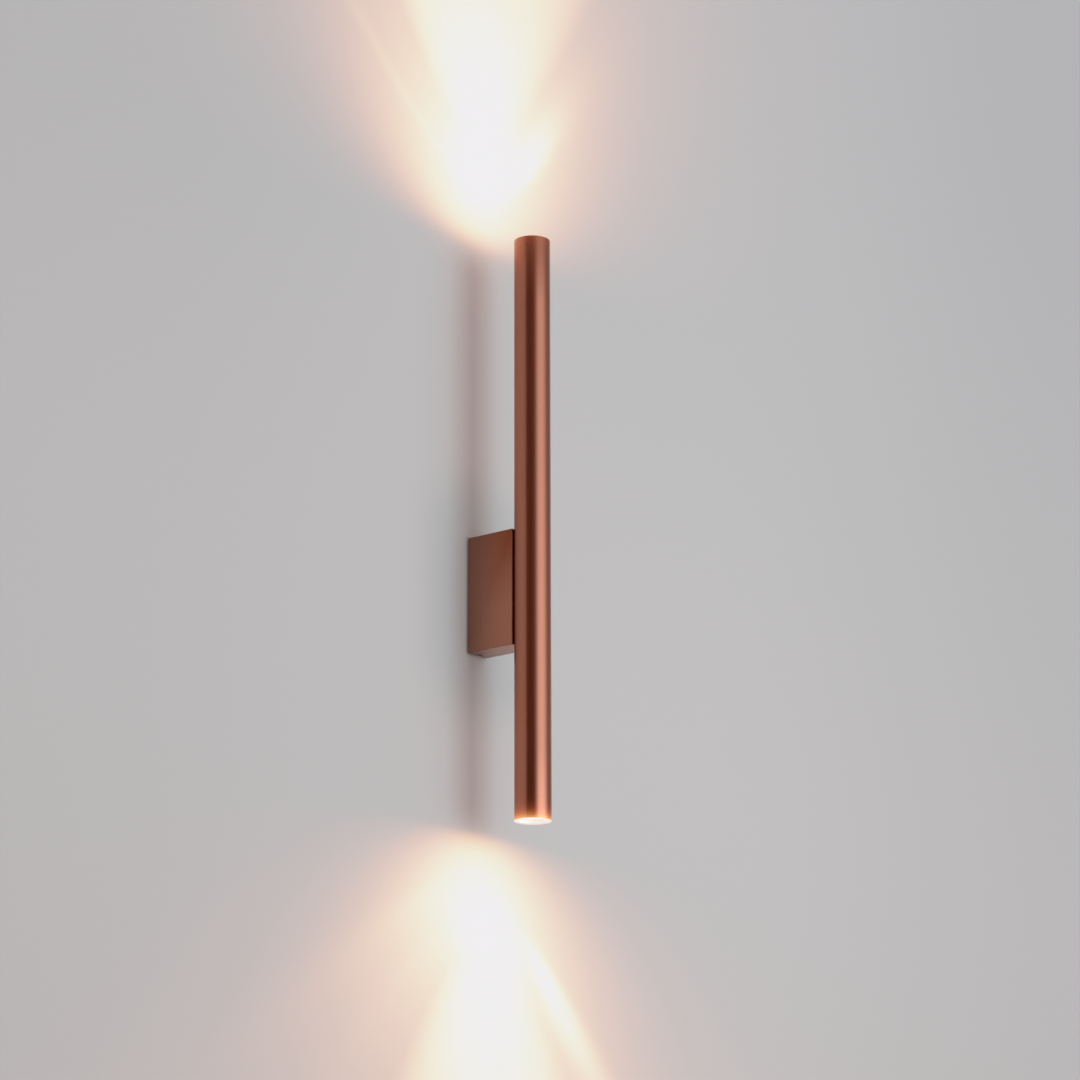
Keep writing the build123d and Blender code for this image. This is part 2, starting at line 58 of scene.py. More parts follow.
class Grain(Enum):
    """The fine patterns that a finish can carry."""

    SPECKLE = "speckle"
    CLOUD = "cloud"
    DRAWN = "drawn"
    TURNED = "turned"
    PITTED = "pitted"
    LAYERED = "layered"


class End(Enum):
    """The two lamp ends of the tube, as the sign of z that their light leaves towards."""

    UPPER = 1
    LOWER = -1

    @property
    def prefix(self) -> str:
        """The word that the names of this end's nodes begin with."""
        return self.name.lower()


class Wire:
    """One number travelling through a node tree, which takes part in Python arithmetic."""

    def __init__(self, graph: "Graph", socket: bpy.types.NodeSocket) -> None:
        """Wraps an output socket.

        Args:
            graph: The node tree that the socket belongs to.
            socket: The output socket that carries the number.
        """
        self.graph = graph
        self.socket = socket

    def __add__(self, other: Feed) -> "Wire":
        """The sum."""
        return self.graph.math("ADD", self, other)

    def __radd__(self, other: Feed) -> "Wire":
        """The sum with a plain number first."""
        return self.graph.math("ADD", other, self)

    def __sub__(self, other: Feed) -> "Wire":
        """The difference."""
        return self.graph.math("SUBTRACT", self, other)

    def __rsub__(self, other: Feed) -> "Wire":
        """The difference with a plain number first."""
        return self.graph.math("SUBTRACT", other, self)

    def __mul__(self, other: Feed) -> "Wire":
        """The product."""
        return self.graph.math("MULTIPLY", self, other)

    def __rmul__(self, other: Feed) -> "Wire":
        """The product with a plain number first."""
        return self.graph.math("MULTIPLY", other, self)

    def __truediv__(self, other: Feed) -> "Wire":
        """The quotient."""
        return self.graph.math("DIVIDE", self, other)

    def __pow__(self, other: Feed) -> "Wire":
        """The power."""
        return self.graph.math("POWER", self, other)

    def __abs__(self) -> "Wire":
        """The size without its sign."""
        return self.graph.math("ABSOLUTE", self)

    def at_least(self, low: Feed) -> "Wire":
        """The larger of this number and low."""
        return self.graph.math("MAXIMUM", self, low)

    def at_most(self, high: Feed) -> "Wire":
        """The smaller of this number and high."""
        return self.graph.math("MINIMUM", self, high)

    def exp(self) -> "Wire":
        """The exponential."""
        return self.graph.math("EXPONENT", self)

    def diagonal(self, other: Feed) -> "Wire":
        """The root of this number squared plus the other squared."""
        return self.graph.math("SQRT", self * self + other * other)

    def bell(self, centre: float, width: float) -> "Wire":
        """A bell curve of this number: 1 at centre, and 1 / e at width from there."""
        off = (self - centre) / width
        return (off * off * -1.0).exp()

    def ramp(self, start: float, end: float) -> "Wire":
        """A smooth step that is 0 at start and 1 at end; start may be the larger.

        Args:
            start: The value of this number at which the step begins.
            end: The value at which it is complete.

        Returns:
            The step, from 0 to 1.
        """
        node = self.graph.add(
            "ShaderNodeMapRange",
            {"interpolation_type": "SMOOTHSTEP"},
            {"Value": self, "From Min": start, "From Max": end},
        )
        return Wire(self.graph, node.outputs["Result"])


class Graph:
    """A node tree that is built with one method for nodes and one for arithmetic."""

    def __init__(self, tree: bpy.types.NodeTree) -> None:
        """Empties the tree.

        Args:
            tree: The node tree of a material or of the world.
        """
        self.tree = tree
        tree.nodes.clear()

    def add(
        self, kind: str, settings: dict[str, Any] | None = None, sockets: dict | None = None
    ) -> bpy.types.Node:
        """Adds a node.

        Args:
            kind: The node's type name.
            settings: Attributes of the node, set before its sockets.
            sockets: The value or link of each input, by its name or place.

        Returns:
            The node.
        """
        node = self.tree.nodes.new(kind)
        for name, value in (settings or {}).items():
            setattr(node, name, value)
        for key, value in (sockets or {}).items():
            self.feed(node.inputs[key], value)
        return node

    def feed(self, socket: bpy.types.NodeSocket, value: Feed) -> None:
        """Links or sets one input.

        Args:
            socket: The input.
            value: A wire or socket to link, or a plain value to set.
        """
        if isinstance(value, Wire):
            self.tree.links.new(value.socket, socket)
        elif isinstance(value, bpy.types.NodeSocket):
            self.tree.links.new(value, socket)
        elif isinstance(value, tuple) and socket.type == "RGBA":
            socket.default_value = (*value, 1.0)
        else:
            socket.default_value = value

    def math(self, operation: str, *values: Feed) -> Wire:
        """Adds a Math node.

        Args:
            operation: The node's operation.
            values: Its inputs, in order.

        Returns:
            The result.
        """
        node = self.add("ShaderNodeMath", {"operation": operation}, dict(enumerate(values)))
        return Wire(self, node.outputs[0])

    def place(self) -> tuple[bpy.types.NodeSocket, Wire, Wire, Wire]:
        """The shaded point in the part's own frame.

        Returns:
            The point as a vector, and its x, y and z, in metres.
        """
        point = self.add("ShaderNodeTexCoord").outputs["Object"]
        split = self.add("ShaderNodeSeparateXYZ", sockets={0: point})
        return (point, *(Wire(self, out) for out in split.outputs))

    def stretched(self, point: bpy.types.NodeSocket, scale: Coords) -> bpy.types.NodeSocket:
        """The point with each axis scaled.

        Args:
            point: The point.
            scale: The factor along x, y and z.

        Returns:
            The scaled point.
        """
        return self.add("ShaderNodeMapping", sockets={"Vector": point, "Scale": scale}).outputs["Vector"]

    def noise(
        self, point: bpy.types.NodeSocket, size: float, detail: float = 3.0, sharpness: float = 0.5
    ) -> Wire:
        """Even noise.

        Args:
            point: Where it is read.
            size: The width of one blob, in the units of the point.
            detail: The number of finer layers.
            sharpness: How strong each finer layer is.

        Returns:
            The noise, about 0.5 on average.
        """
        node = self.add(
            "ShaderNodeTexNoise",
            sockets={"Vector": point, "Scale": 1.0 / size, "Detail": detail, "Roughness": sharpness},
        )
        return Wire(self, node.outputs[0])

    def blend(self, share: Feed, first: Feed, second: Feed) -> bpy.types.NodeSocket:
        """A mix of two colours.

        Args:
            share: How much of the second colour there is.
            first: The first colour.
            second: The second colour.

        Returns:
            The mixed colour.
        """
        node = self.add("ShaderNodeMix", {"data_type": "RGBA"}, {0: share, 6: first, 7: second})
        return node.outputs[2]

    def bump(self, height: Wire, depth: float) -> bpy.types.NodeSocket:
        """A relief.

        Args:
            height: The height, from 0 to 1.
            depth: How far 1 stands above 0, in metres.

        Returns:
            The normal that the relief gives.
        """
        node = self.add("ShaderNodeBump", sockets={"Height": height, "Distance": depth, "Strength": 1.0})
        return node.outputs["Normal"]

    def surface(self, sockets: dict[str, Feed]) -> None:
        """Ends the tree in a Principled shader.

        Args:
            sockets: The shader's inputs.
        """
        shader = self.add("ShaderNodeBsdfPrincipled", sockets=sockets)
        self.add("ShaderNodeOutputMaterial", sockets={"Surface": shader.outputs[0]})


def new_graph(name: str) -> tuple[bpy.types.Material, Graph]:
    """A new material with an empty node tree.

    Args:
        name: The material's name.

    Returns:
        The material and its graph.
    """
    material = bpy.data.materials.new(name)
    material.use_nodes = True
    return material, Graph(material.node_tree)


@dataclass(frozen=True)
class Finish:
    """A finish with a grain: colour and roughness follow the grain, and a relief gives it depth.

    Attributes:
        slot: The record's material slot.
        tone: The main colour.
        shade: The colour that the grain turns it to.
        grain: The kind of grain.
        size: The width of one grain, in metres.
        rough: The lowest and highest roughness.
        relief: The depth of the relief, in metres.
        metal: 1 for bare metal and 0 for everything else.
        coat: The weight of a clear coat.
        sheen: The weight of a soft sheen, on rubber and foam.
        coat_rough: The roughness of the clear coat.
        drawn_length: How many grains long a drawn line is.
        patch: The width of the slow patches, in grains.
        turn_at: The sum of grain and patches at which the shade sets in and is full.
    """

    slot: str
    tone: Colour
    shade: Colour
    grain: Grain
    size: float
    rough: Span
    relief: float
    metal: float = 0.0
    coat: float = 0.0
    sheen: float = 0.0
    coat_rough: float = 0.15
    drawn_length: float = 50.0
    patch: float = 12.0
    turn_at: Span = (0.35, 0.95)

    def pattern(self, graph: Graph) -> Wire:
        """The grain, from 0 to 1.

        Args:
            graph: The tree that it is built in.

        Returns:
            Noise as it is for specks and clouds, stretched along z for drawn metal, rings across z for turned
            metal, cell distances for pits, and thin bands for layers.
        """
        point, _, _, z = graph.place()
        if self.grain is Grain.DRAWN:
            return graph.noise(graph.stretched(point, (1.0, 1.0, 1.0 / self.drawn_length)), self.size, 4.0)
        if self.grain is Grain.TURNED:
            rings = graph.math("SINE", z * (2.0 * math.pi / self.size)) * 0.25 + 0.5
            return rings + graph.noise(point, self.size * 9.0) * 0.5 - 0.25
        if self.grain is Grain.PITTED:
            cells = graph.add("ShaderNodeTexVoronoi", sockets={"Vector": point, "Scale": 1.0 / self.size})
            return Wire(graph, cells.outputs["Distance"])
        if self.grain is Grain.LAYERED:
            bands = graph.math("FRACT", z / self.size)
            return bands.ramp(0.0, 0.12) * (0.7 + 0.3 * graph.noise(point, self.size))
        detail = 5.0 if self.grain is Grain.CLOUD else 2.0
        return graph.noise(point, self.size, detail)

    def build(self) -> bpy.types.Material:
        """Makes the material.

        Returns:
            The material.
        """
        material, graph = new_graph(self.slot)
        grain = self.pattern(graph)
        point = graph.place()[0]
        patches = graph.noise(point, self.size * self.patch, 2.0)
        share = (grain * 0.7 + patches * 0.6).ramp(*self.turn_at)
        low, high = self.rough
        graph.surface({
            "Base Color": graph.blend(share, self.tone, self.shade),
            "Roughness": low + (high - low) * grain,
            "Metallic": self.metal,
            "Coat Weight": self.coat,
            "Coat Roughness": self.coat_rough,
            "Sheen Weight": self.sheen,
            "Normal": graph.bump(grain, self.relief),
        })
        return material


@dataclass(frozen=True)
class CopperLacquer:
    """Satin copper lacquer with fine metal flake, lighter along sharp edges, with painted glow and painted
    shade.

    Attributes:
        slot: The record's material slot.
        tone: The lacquer's colour.
        deep: The colour between the flakes.
        shaded_box_tone: Painted shade: a darker, redder copy of the lacquer's colour for the flat sides of
            the box.
        shade: Painted shade: the y at which the box's colour begins to darken towards the wall, where it
            ends, and how much.
        box_from: The distances from the axis between which the tube's colour gives way to the box's shaded
            copy.
        edge: The lighter colour along sharp edges.
        bend: The pointiness at which an edge begins to show and is full.
        glow: Painted glow: the warm light painted as emission on the lacquer close to a mouth.
        painted_near_glow: Painted glow: the yellower light right at the mouth.
        rim_glow: Painted glow: the paler light painted on the rim itself.
        rim: How far from the mouth's plane the rim's painted glow begins and is full, in metres.
        fade: How far from the mouth the painted glow falls to a third, in metres.
        upper_painted_glow_share: How much of the painted glow and of the rim's painted glow there is at the
            upper mouth.
        mouths: The z of the upper and the lower mouth.
        axis_y: Where the tube's axis is.
        flake: The width of one flake, in metres.
        flake_cut: The noise at which a flake begins and is full.
        drawn: The width of the drawn lines under the lacquer, in metres, and that width over their length.
        peel: The width of the slow waves in the lacquer, in metres.
        relief: The depth of waves and flakes, in metres.
        rough: The lowest and highest roughness.
        coat: The weight of the clear coat.
        coat_rough: The roughness of the clear coat.
    """

    slot: str = "copper_lacquer"
    tone: Colour = (0.53, 0.200, 0.122)
    deep: Colour = (0.47, 0.165, 0.098)
    shaded_box_tone: Colour = (0.285, 0.054, 0.014)
    # painted shade: the box's sides take a darker copy of the lacquer, darker still towards the wall
    shade: Step = (-0.036, -0.004, 0.70)
    box_from: Span = (0.0151, 0.0156)
    edge: Colour = (0.66, 0.33, 0.23)
    bend: Span = (0.53, 0.60)
    # painted glow: emission on the lacquer near the mouths, which are lamps while the lacquer is not
    glow: Colour = (0.72, 0.14, 0.04)
    painted_near_glow: Colour = (0.66, 0.42, 0.14)
    rim_glow: Colour = (0.60, 0.60, 0.56)
    rim: Span = (0.0005, 0.0001)
    fade: float = 0.0041
    upper_painted_glow_share: tuple[float, float] = (0.12, 0.2)
    mouths: tuple[float, float] = (0.297, -0.193)
    axis_y: float = -0.059
    flake: float = 0.00028
    flake_cut: Span = (0.36, 0.68)
    drawn: tuple[float, float] = (0.0011, 0.012)
    peel: float = 0.0016
    relief: float = 0.000004
    rough: Span = (0.25, 0.31)
    coat: float = 0.20
    coat_rough: float = 0.22

    def build(self) -> bpy.types.Material:
        """Makes the material.

        Returns:
            The material.
        """
        material, graph = new_graph(self.slot)
        point, x, y, z = graph.place()
        # painted glow: emission on the lacquer, warm near each mouth and pale on the rim, weaker at the upper
        # mouth
        above, below = self.mouths[0] - z, z - self.mouths[1]
        painted_glow_at_upper, painted_rim_glow_at_upper = self.upper_painted_glow_share
        painted_glow_share = (below / -self.fade).exp() + painted_glow_at_upper * (above / -self.fade).exp()
        rim = below.ramp(*self.rim) + above.ramp(*self.rim) * painted_rim_glow_at_upper
        glow = graph.blend(painted_glow_share ** 2.0, graph.blend(painted_glow_share, (0.0, 0.0, 0.0), self.glow), self.painted_near_glow)
        flakes = graph.noise(point, self.flake, 2.0, 0.6)
        waves = graph.noise(point, self.peel, 2.0)
        width, slimness = self.drawn
        drawn = graph.noise(graph.stretched(point, (1.0, 1.0, slimness)), width, 3.0)
        # lighter colour along sharp edges, by pointiness
        sharp_edge_share = Wire(graph, graph.add("ShaderNodeNewGeometry").outputs["Pointiness"]).ramp(*self.bend)
        # painted shade: the box takes a darker copy of the lacquer, which darkens further towards the wall
        away = x.diagonal(y - self.axis_y)
        start, end, loss = self.shade
        flat = graph.blend(y.ramp(start, end) * loss, self.shaded_box_tone, (0.0, 0.0, 0.0))
        round_tone = graph.blend(flakes.ramp(*self.flake_cut), self.deep, self.tone)
        body = graph.blend(away.ramp(*self.box_from), round_tone, flat)
        low, high = self.rough
        graph.surface({
            "Base Color": graph.blend(sharp_edge_share * 0.5, body, self.edge),
            "Roughness": low + (high - low) * (flakes * 0.5 + drawn * 0.5),
            "Metallic": 1.0,
            "Coat Weight": self.coat,
            "Coat Roughness": self.coat_rough,
            "Emission Color": graph.blend(rim, glow, self.rim_glow),
            "Emission Strength": 1.0,
            "Normal": graph.bump(waves * 0.8 + flakes * 0.2, self.relief),
        })
        return material


@dataclass(frozen=True)
class Opal:
    """Frosted opal plastic, lit from behind, a little brighter over the emitter.

    Attributes:
        slot: The record's material slot.
        tone: The colour of the unlit plastic.
        glow: The colour of the light at the middle.
        rim_glow: The colour of the light at the rim.
        strength: How bright the light is.
        radius: The radius of the lit disc, in metres.
        axis_y: Where the tube's axis is, in metres.
        frost: The width of one grain of the frost, in metres.
        relief: The depth of the frost, in metres.
        rough: The lowest and highest roughness.
        shade: How much darker the plastic is between the grains.
        middle: The share of the radius up to which the glow is that of the middle.
    """

    slot: str
    tone: Colour
    glow: Colour
    rim_glow: Colour
    strength: float
    radius: float = 0.01335
    axis_y: float = -0.059
    frost: float = 0.0004
    relief: float = 0.00001
    rough: Span = (0.38, 0.50)
    shade: float = 0.96
    middle: float = 0.35

    def build(self) -> bpy.types.Material:
        """Makes the material.

        Returns:
            The material, whose glow falls with the distance from the tube's axis.
        """
        material, graph = new_graph(self.slot)
        point, x, y, _ = graph.place()
        away = x.diagonal(y - self.axis_y) / self.radius
        frost = graph.noise(point, self.frost, 3.0)
        low, high = self.rough
        between = tuple(channel * self.shade for channel in self.tone)
        graph.surface({
            "Base Color": graph.blend(frost.ramp(0.3, 0.7), self.tone, between),
            "Roughness": low + (high - low) * frost,
            "Emission Color": graph.blend(away.ramp(self.middle, 1.0), self.glow, self.rim_glow),
            "Emission Strength": self.strength,
            "Normal": graph.bump(frost, self.relief),
        })
        return material


@dataclass(frozen=True)
class Beam:
    """How one end's light depends on its direction.

    Told by c, the cosine of the angle from the tube's axis, and by s, the sine of the turn around it from
    straight at the wall towards +X. It is a wide wash, a narrow core, a bright foot where the core first
    meets the wall, a bright streak on the +X side and a faint ray on the -X side.

    Attributes:
        wash: The wash's strength at c = 1, its power of c and the strength of its linear part.
        level: The c above which the wash stays as it is.
        lean: How much stronger the wash is on the +X side.
        core: The core's strength, and the c at which it begins and is full.
        tilt: How far the core leans towards +X, in c.
        foot: The foot's strength, its c and width in c, and its s and width in s.
        streak: The streak's strength, its c and width in c, its s and width in s, and how its c grows with s.
        ray: The faint ray's strength, its c and its width.
        start: How far past the mouth's rim the light sets in, and over what length, in metres.
        ray_side: The s at which the ray sets in and is full.
    """

    wash: tuple[float, float, float]
    level: float
    lean: float
    core: tuple[float, float, float]
    tilt: float
    foot: tuple[float, float, float, float, float]
    streak: tuple[float, float, float, float, float, float]
    ray: tuple[float, float, float]
    start: tuple[float, float]
    ray_side: Span = (-0.2, -0.6)

    def light(self, x: Wire, past: Wire, distance: float) -> Wire:
        """The light at a wall point: the strength in its direction, times distance, over the cube of the way.

        Args:
            x: The wall point's x.
            past: How far it lies past the mouth, along the light.
            distance: How far the tube's axis is from the wall.

        Returns:
            The light, in units in which a channel of rate 1 is nearly full at 2.
        """
        beyond = past - self.start[0]
        ahead = (beyond + beyond.diagonal(self.start[1])) * 0.5
        aside = x.diagonal(distance)
        reach = aside.diagonal(ahead)
        cosine, sine = ahead / reach, x / aside
        held = cosine.at_most(self.level)
        wash = (held ** self.wash[1] * self.wash[0] + held * self.wash[2]) * (sine * self.lean + 1.0)
        core = (cosine + sine * self.tilt).ramp(*self.core[1:]) * self.core[0]
        strength, centre, width, side, spread = self.foot
        foot = cosine.bell(centre, width) * sine.bell(side, spread) * strength
        strength, centre, width, side, spread, growth = self.streak
        bent = cosine - (sine - side) * growth
        streak = bent.bell(centre, width) * sine.bell(side, spread) * strength
        ray = cosine.bell(*self.ray[1:]) * sine.ramp(*self.ray_side) * self.ray[0]
        return (wash + core + foot + streak + ray) * distance / (reach ** 3.0)


@dataclass(frozen=True)
class Plaster:
    """A plain painted wall with the two pools of light painted on it as emission.

    Each colour channel nears its ceiling as 1 - exp(-rate * light), as a bright light does in a photograph,
    so the edge of a pool is peach and its middle is white. Painted shade: the paint is a little darker
    towards the left, the right and the top, standing in for the light falling off there, which gives the wall
    the level that it has in the photograph.

    Attributes:
        tone: The paint's colour.
        ambient: Painted light: an even warm glow that the paint sends back besides, which only the box's
            painted shade darkens.
        ceiling: The colour that a pool's middle comes to.
        rates: How fast each channel nears the ceiling.
        axis_y: Where the tube's axis is, in metres.
        mouths: The z of the upper and the lower mouth, in metres.
        upper: The upper end's light.
        lower: The lower end's light.
        box: Half of the box's width and height, in metres.
        contact_shadow: Painted shadow: how far from the box the dark line round it begins to lighten and
            ends, and how dark it is.
        box_shade: How far from the box its painted shade begins and is full, and how much of the even light
            it takes.
        painted_shade_left: Painted shade: the x at which the paint begins to darken to the left, where it
            ends, and how much.
        painted_shade_right: The same painted shade to the right.
        painted_shade_top: Painted shade: the z at which the paint begins to darken upwards, where it ends,
            and by how much.
    """

    tone: Colour = (0.285, 0.352, 0.371)
    ambient: Colour = (0.220, 0.132, 0.113)
    ceiling: Colour = (0.872, 0.858, 0.873)
    rates: Colour = (1.0, 0.294, 0.0913)
    axis_y: float = -0.059
    mouths: tuple[float, float] = (0.297, -0.193)
    upper: Beam = Beam(
        wash=(0.500, 2.70, 0.055), level=0.849, lean=-0.031, core=(2.47, 0.842, 0.968), tilt=0.001,
        foot=(3.22, 0.801, 0.120, 0.125, 0.405), streak=(1.66, 0.741, 0.050, 0.745, 0.101, 0.155),
        ray=(0.080, 0.707, 0.024), start=(0.0068, 0.0067),
    )
    lower: Beam = Beam(
        wash=(0.491, 2.81, 0.069), level=0.771, lean=0.202, core=(5.72, 0.834, 1.096), tilt=0.036,
        foot=(1.45, 0.8045, 0.120, 0.256, 0.428), streak=(2.10, 0.724, 0.040, 0.851, 0.079, 0.195),
        ray=(0.042, 0.60, 0.080), start=(0.0016, 0.0024),
    )
    box: tuple[float, float] = (0.012, 0.0485)
    contact_shadow: Step = (0.0002, 0.0025, 0.6)
    box_shade: Step = (0.080, 0.012, 0.34)
    painted_shade_left: Step = (0.15, -0.40, 0.055)
    painted_shade_right: Step = (0.30, 0.95, 0.070)
    painted_shade_top: Step = (-0.30, 0.80, 0.095)

    def build(self) -> bpy.types.Material:
        """Makes the material, clear from behind so that a view through the wall shows the part's back.

        Returns:
            The material.
        """
        material, graph = new_graph("wall_paint")
        _, x, _, z = graph.place()
        distance = abs(self.axis_y)
        light = (self.upper.light(x, z - self.mouths[0], distance)
                 + self.lower.light(x, self.mouths[1] - z, distance))
        # painted shade: the paint darkens towards the left, the right and the top
        level = 1.0
        for along, (start, end, loss) in ((x, self.painted_shade_left), (x, self.painted_shade_right), (z, self.painted_shade_top)):
            level = (1.0 - along.ramp(start, end) * loss) * level
        kept = [(light * -rate).exp() for rate in self.rates]
        half_width, half_height = self.box
        beside, over = (abs(x) - half_width).at_least(0.0), (abs(z) - half_height).at_least(0.0)
        off = beside.diagonal(over)
        # painted shadow: a dark line right round the box, and a wider painted shade near it, both taking the
        # even light
        clear_from, clear_at, dark = self.contact_shadow
        shade_from, shade_at, loss = self.box_shade
        line = off.ramp(clear_from, clear_at) * dark + (1.0 - dark)
        ambient_level_with_painted_shade = level * line * (1.0 - off.ramp(shade_from, shade_at) * loss)
        paint = graph.add("ShaderNodeCombineColor", sockets=dict(enumerate(
            share * level * part for share, part in zip(kept, self.tone)
        ))).outputs[0]
        # painted light: the pools of light and the even warm glow, as emission
        full = graph.add("ShaderNodeCombineColor", sockets=dict(enumerate(
            share * ambient_level_with_painted_shade * even + (1.0 - share) * top
            for share, even, top in zip(kept, self.ambient, self.ceiling)
        ))).outputs[0]
        shader = graph.add("ShaderNodeBsdfPrincipled", sockets={
            "Base Color": paint, "Roughness": 0.9, "Specular IOR Level": 0.1,
            "Emission Color": full, "Emission Strength": 1.0,
        })
        clear = graph.add("ShaderNodeBsdfTransparent")
        behind = graph.add("ShaderNodeNewGeometry").outputs["Backfacing"]
        both = graph.add("ShaderNodeMixShader", sockets={
            0: behind, 1: shader.outputs[0], 2: clear.outputs[0],
        })
        graph.add("ShaderNodeOutputMaterial", sockets={"Surface": both.outputs[0]})
        return material


class Surfaces:
    """Collects grids of points and welds them into one closed mesh."""

    def __init__(self) -> None:
        """Starts with no grids."""
        self.points: list[np.ndarray] = []
        self.faces: list[np.ndarray] = []
        self.count = 0

    def grid(self, points: np.ndarray, keep: np.ndarray | None = None) -> "Surfaces":
        """Adds a grid as quads: face (i, j) joins points (i, j), (i + 1, j), (i + 1, j + 1) and (i, j + 1).

        Args:
            points: The points, rows by columns by 3, in metres.
            keep: Which faces are kept, rows - 1 by columns - 1, or None for all.

        Returns:
            This collection.
        """
        rows, columns = points.shape[:2]
        index = np.arange(rows * columns).reshape(rows, columns) + self.count
        quads = np.stack([index[:-1, :-1], index[1:, :-1], index[1:, 1:], index[:-1, 1:]], axis=-1)
        quads = quads.reshape(-1, 4) if keep is None else quads[keep]
        self.points.append(points.reshape(-1, 3))
        self.faces.append(quads)
        self.count += rows * columns
        return self

    def weld(self, name: str, sharp_degrees: float = 35.0, closed: bool = True) -> bpy.types.Object:
        """Merges equal points, drops the empty side of each quad at a pole and makes the object.

        Args:
            name: The piece's name.
            sharp_degrees: Edges that turn by more than this stay sharp.
            closed: Whether the grids enclose a solid, whose faces are then turned outwards.

        Returns:
            The object, at the origin, with its faces pointing outwards.
        """
        points = np.concatenate(self.points)
        cells = np.round(points / WELD).astype(np.int64)
        _, first, back = np.unique(cells, axis=0, return_index=True, return_inverse=True)
        quads = back.reshape(-1)[np.concatenate(self.faces)]
        same = quads == np.roll(quads, -1, axis=1)
        whole = quads[~same.any(axis=1)]
        pinched = quads[same.sum(axis=1) == 1]
        turn = np.argmax(pinched == np.roll(pinched, -1, axis=1), axis=1)[:, None]
        triangles = np.take_along_axis(pinched, (turn + np.arange(1, 4)) % 4, axis=1)
        mesh = bpy.data.meshes.new(name)
        mesh.from_pydata(points[first].tolist(), [], whole.tolist() + triangles.tolist())
        if closed:
            shell = bmesh.new()
            shell.from_mesh(mesh)
            bmesh.ops.recalc_face_normals(shell, faces=shell.faces)
            shell.to_mesh(mesh)
            shell.free()
        mesh.polygons.foreach_set("use_smooth", np.ones(len(mesh.polygons), bool))
        mesh.set_sharp_from_angle(angle=math.radians(sharp_degrees))
        piece = bpy.data.objects.new(name, mesh)
        bpy.context.scene.collection.objects.link(piece)
        return piece


@dataclass(frozen=True)
class Seat:
    """A line that a piece is turned about, with its start and its three directions.

    Attributes:
        start: The point of the line at which levels are counted from 0, in metres.
        across: The direction of angle 0.
        aside: The direction of a quarter turn.
        along: The direction in which levels rise.
    """

    start: Coords
    across: Coords = (1.0, 0.0, 0.0)
    aside: Coords = (0.0, 1.0, 0.0)
    along: Coords = (0.0, 0.0, 1.0)

    def points(self, radius: np.ndarray, angle: np.ndarray, level: np.ndarray) -> np.ndarray:
        """Points of a turned surface: start + radius (cos angle across + sin angle aside) + level along.

        Args:
            radius: The distance of each point from the line.
            angle: Its angle.
            level: Its level along the line.

        Returns:
            The points, with their three coordinates in the last axis.
        """
        radius, angle, level = np.broadcast_arrays(radius, angle, level)
        directions = np.array([self.across, self.aside, self.along])
        parts = np.stack([radius * np.cos(angle), radius * np.sin(angle), level], axis=-1)
        return np.array(self.start) + parts @ directions

    def turned(self, profile: np.ndarray, columns: int) -> np.ndarray:
        """A profile of (radius, level) rows carried once round the line.

        Args:
            profile: The radius and level of each row, in metres.
            columns: The number of steps round the line.

        Returns:
            The grid, rows by columns + 1 by 3.
        """
        angle = np.linspace(0.0, 2.0 * np.pi, columns + 1)
        return self.points(profile[:, :1], angle, profile[:, 1:])


def arc(centre: tuple[float, float], radius: float, start: float, end: float, count: int = 5) -> np.ndarray:
    """Profile points on an arc: centre + radius (cos t, sin t) for t from start to end, in degrees."""
    t = np.radians(np.linspace(start, end, count))
    return np.array(centre) + radius * np.stack([np.cos(t), np.sin(t)], axis=-1)


def finished(
    piece: bpy.types.Object, slot: str, finishes: Finishes, body: str, *nodes: str
) -> bpy.types.Object:
    """Gives a new piece its finish, its body and the nodes that it stands for.

    Args:
        piece: The piece.
        slot: The record's slot that its finish comes from.
        finishes: The material of each slot.
        body: The body that it rides on.
        nodes: The CAD nodes that it replaces.

    Returns:
        The piece.
    """
    piece.data.materials.append(finishes[slot])
    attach(piece, body)
    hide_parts(*nodes)
    LOG.info("%s: %d faces on %s", piece.name, len(piece.data.polygons), body)
    return piece


def dress_nodes(finishes: Finishes) -> None:
    """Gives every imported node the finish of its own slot.

    Args:
        finishes: The material of each slot.
    """
    for name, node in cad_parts.items():
        for place in node.material_slots:
            slot = place.material.name.split(".")[0]
            if slot in finishes:
                place.material = finishes[slot]
            else:
                LOG.warning("%s has no finish for slot %s", name, slot)


